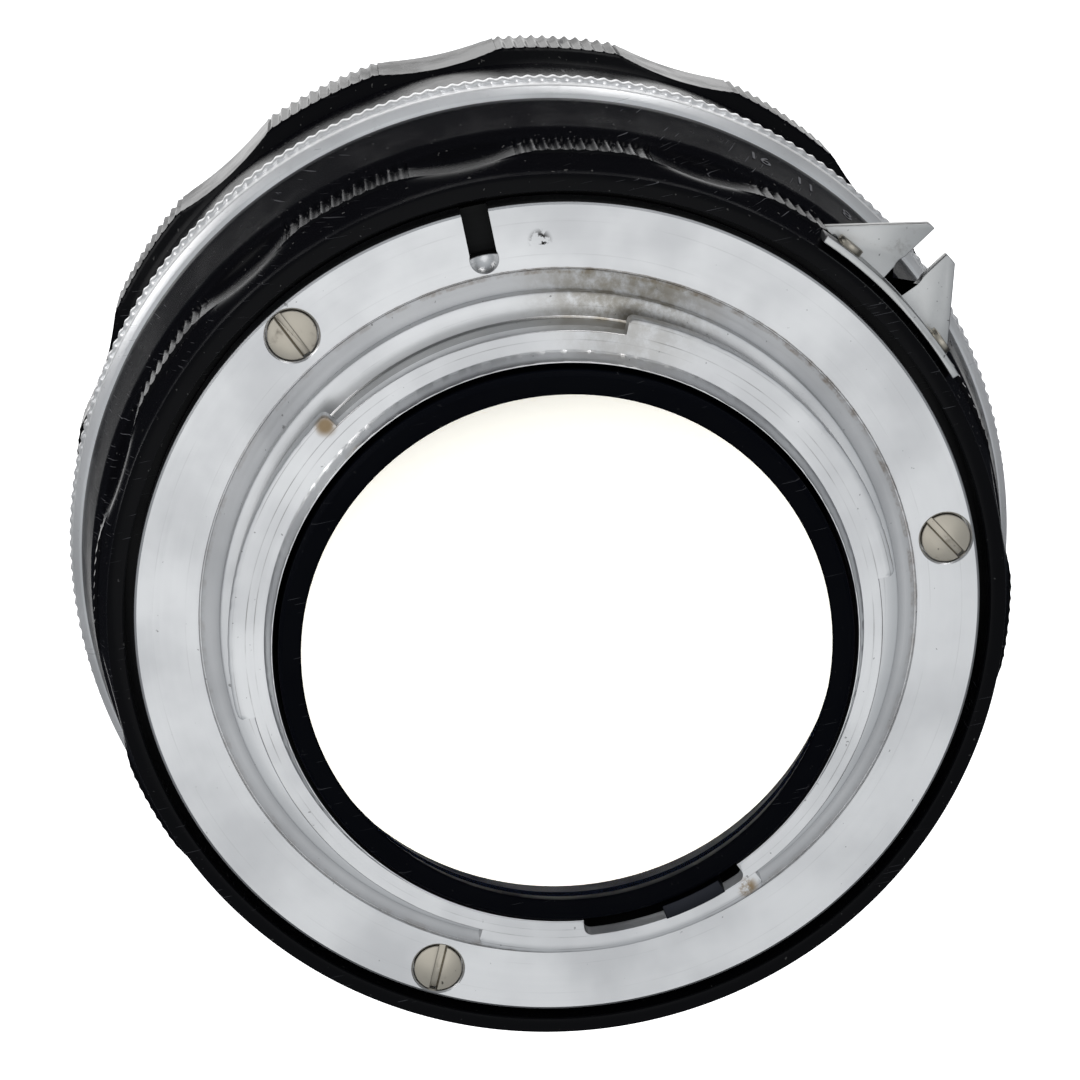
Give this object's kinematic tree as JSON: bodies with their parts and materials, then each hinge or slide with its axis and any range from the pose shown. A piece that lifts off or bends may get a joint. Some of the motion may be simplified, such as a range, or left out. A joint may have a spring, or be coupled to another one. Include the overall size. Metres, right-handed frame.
{
  "type": "prime camera lens",
  "caption": "Fast normal prime lens for a single-lens reflex camera, with a chrome bayonet, aperture ring with meter prong, click-stopped iris, scalloped focusing ring and moving optics.",
  "frame": {"origin": "centre of the bayonet flange's rear face, on the optical axis", "axes": "+Z along the optical axis towards the camera body, +X through the lock notch, -Y through the index mark; the lens stands on its front rim"},
  "size_m": [0.0724, 0.0724, 0.0544],
  "materials": {
    "bright_chrome": "satin chrome on brass, circular turning marks",
    "nickel_screw": "nickel plated, worn",
    "satin_nickel": "satin nickel, slightly tarnished",
    "satin_aluminium": "bright satin",
    "black_enamel": "gloss black enamel on aluminium, scratched",
    "black_matt": "matt black anodised aluminium",
    "name_ring_black": "semi-matt black anodised aluminium",
    "dull_aluminium": "machined, greased",
    "brass": "machined",
    "dark_steel": "blackened steel",
    "spring_steel": "bright spring steel",
    "blade_steel": "blued steel",
    "index_paint": "bead of orange paint",
    "coated_glass": "polished, single coated"
  },
  "bodies": {
    "barrel": {"bayonet_mount": "bright_chrome", "mount_screws": "nickel_screw", "main_barrel": "dull_aluminium", "guide_keys": "brass", "key_screws": "nickel_screw", "grip_ring": "satin_aluminium", "grip_ring_screws": "nickel_screw", "index_pin": "index_paint", "click_ball": "spring_steel", "click_spring": "spring_steel", "lever_retainer": "dark_steel", "spring_post": "dark_steel", "stop_spring": "spring_steel"},
    "stop_lever": {"stop_lever": "dark_steel"},
    "aperture_ring": {"aperture_ring": "black_enamel", "meter_prong": "satin_nickel", "prong_screws": "nickel_screw", "drive_pin": "dark_steel"},
    "focus_ring": {"focus_ring": "black_enamel", "focus_helicoid": "brass", "focus_ring_screws": "nickel_screw"},
    "optical_block": {"inner_barrel": "dull_aluminium", "front_barrel": "black_enamel", "iris_base": "black_matt", "rear_cell": "black_matt", "rear_baffle": "black_matt", "rear_spacer": "black_matt", "front_cell": "black_matt", "front_spacer": "black_matt", "name_ring": "name_ring_black", "rear_element": "coated_glass", "rear_inner_element": "coated_glass", "rear_doublet_crown": "coated_glass", "rear_doublet_flint": "coated_glass", "front_doublet_flint": "coated_glass", "front_doublet_crown": "coated_glass", "front_element": "coated_glass"},
    "iris_cam": {"iris_cam": "black_matt"},
    "iris_blade_1": {"iris_blade_1": "blade_steel"},
    "iris_blade_2": {"iris_blade_2": "blade_steel"},
    "iris_blade_3": {"iris_blade_3": "blade_steel"},
    "iris_blade_4": {"iris_blade_4": "blade_steel"},
    "iris_blade_5": {"iris_blade_5": "blade_steel"},
    "iris_blade_6": {"iris_blade_6": "blade_steel"},
    "iris_blade_7": {"iris_blade_7": "blade_steel"}
  },
  "joints": [
    {"name": "aperture_turn", "type": "hinge", "parent": "barrel", "child": "aperture_ring", "pos_m": [0, 0, 0], "axis": [0, 0, 1], "range_deg": [-52, 0]},
    {"name": "lever_turn", "type": "hinge", "parent": "barrel", "child": "stop_lever", "pos_m": [0, 0, 0], "axis": [0, 0, 1], "range_deg": [-15.1, 0]},
    {"name": "focus_extend", "type": "slide", "parent": "barrel", "child": "optical_block", "axis": [0, 0, -1], "range_m": [0, 0.0062]},
    {"name": "focus_turn", "type": "hinge", "parent": "optical_block", "child": "focus_ring", "pos_m": [0, 0, 0], "axis": [0, 0, 1], "range_deg": [0, 190.2]},
    {"name": "iris_cam_turn", "type": "hinge", "parent": "optical_block", "child": "iris_cam", "pos_m": [0, 0, 0], "axis": [0, 0, 1], "range_deg": [-15.1, 0]},
    {"name": "blade_1_swing", "type": "hinge", "parent": "optical_block", "child": "iris_blade_1", "pos_m": [0.0256, 0, -0.0172], "axis": [0, 0, 1], "range_deg": [0, 40.1]},
    {"name": "blade_2_swing", "type": "hinge", "parent": "optical_block", "child": "iris_blade_2", "pos_m": [0.01596, 0.02001, -0.01735], "axis": [0, 0, 1], "range_deg": [0, 40.1]},
    {"name": "blade_3_swing", "type": "hinge", "parent": "optical_block", "child": "iris_blade_3", "pos_m": [-0.0057, 0.02496, -0.0175], "axis": [0, 0, 1], "range_deg": [0, 40.1]},
    {"name": "blade_4_swing", "type": "hinge", "parent": "optical_block", "child": "iris_blade_4", "pos_m": [-0.02306, 0.01111, -0.01765], "axis": [0, 0, 1], "range_deg": [0, 40.1]},
    {"name": "blade_5_swing", "type": "hinge", "parent": "optical_block", "child": "iris_blade_5", "pos_m": [-0.02306, -0.01111, -0.0178], "axis": [0, 0, 1], "range_deg": [0, 40.1]},
    {"name": "blade_6_swing", "type": "hinge", "parent": "optical_block", "child": "iris_blade_6", "pos_m": [-0.0057, -0.02496, -0.01795], "axis": [0, 0, 1], "range_deg": [0, 40.1]},
    {"name": "blade_7_swing", "type": "hinge", "parent": "optical_block", "child": "iris_blade_7", "pos_m": [0.01596, -0.02001, -0.0181], "axis": [0, 0, 1], "range_deg": [0, 40.1]}
  ],
  "couplings": [
    {"joint": "lever_turn", "follows": "aperture_turn", "ratio": 0.28846},
    {"joint": "iris_cam_turn", "follows": "aperture_turn", "ratio": 0.28846},
    {"joint": "focus_turn", "follows": "focus_extend", "rad_per_m": 534.86},
    {"joint": "blade_1_swing", "follows": "aperture_turn", "ratio": -0.76923},
    {"joint": "blade_2_swing", "follows": "aperture_turn", "ratio": -0.76923},
    {"joint": "blade_3_swing", "follows": "aperture_turn", "ratio": -0.76923},
    {"joint": "blade_4_swing", "follows": "aperture_turn", "ratio": -0.76923},
    {"joint": "blade_5_swing", "follows": "aperture_turn", "ratio": -0.76923},
    {"joint": "blade_6_swing", "follows": "aperture_turn", "ratio": -0.76923},
    {"joint": "blade_7_swing", "follows": "aperture_turn", "ratio": -0.76923}
  ]
}
